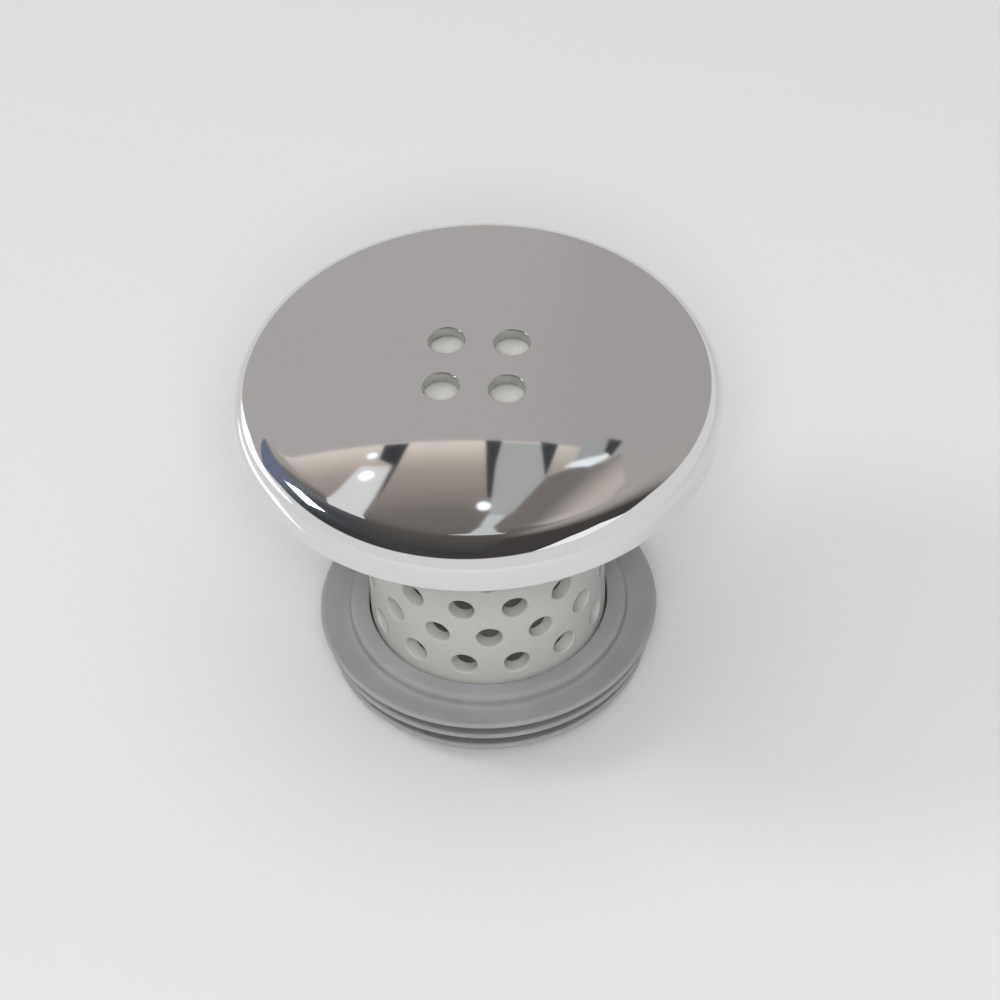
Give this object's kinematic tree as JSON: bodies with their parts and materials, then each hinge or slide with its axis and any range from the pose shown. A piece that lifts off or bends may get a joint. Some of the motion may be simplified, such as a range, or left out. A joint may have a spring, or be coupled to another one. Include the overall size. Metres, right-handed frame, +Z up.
{
  "type": "drain hair catcher",
  "caption": "Mushroom-shaped bath drain hair catcher: a domed chrome cap with round flow holes on a perforated stem whose foot stands in a soft lip seal.",
  "frame": {"origin": "on the vertical axis, at the flat underside of the seal skirt", "axes": "+Z up along the stem's axis to the cap; the cap's square of flow holes is aligned with X and Y"},
  "size_m": [0.064, 0.064, 0.0543],
  "materials": {
    "cap_chrome": "mirror bright chrome plating",
    "stem_plastic": "satin moulded plastic, pale grey",
    "screw_steel": "plain stainless",
    "washer_steel": "plain stainless",
    "seal_silicone": "matt moulded silicone"
  },
  "bodies": {
    "seal": {"seal_skirt": "seal_silicone"},
    "strainer": {"cap": "cap_chrome", "strainer_stem": "stem_plastic", "cap_screw": "screw_steel", "screw_washer": "washer_steel"}
  },
  "joints": [
    {"name": "seal_pull", "type": "slide", "parent": "seal", "child": "strainer", "axis": [0, 0, 1], "range_m": [0, 0.03], "deforming": ["seal_skirt"]}
  ]
}
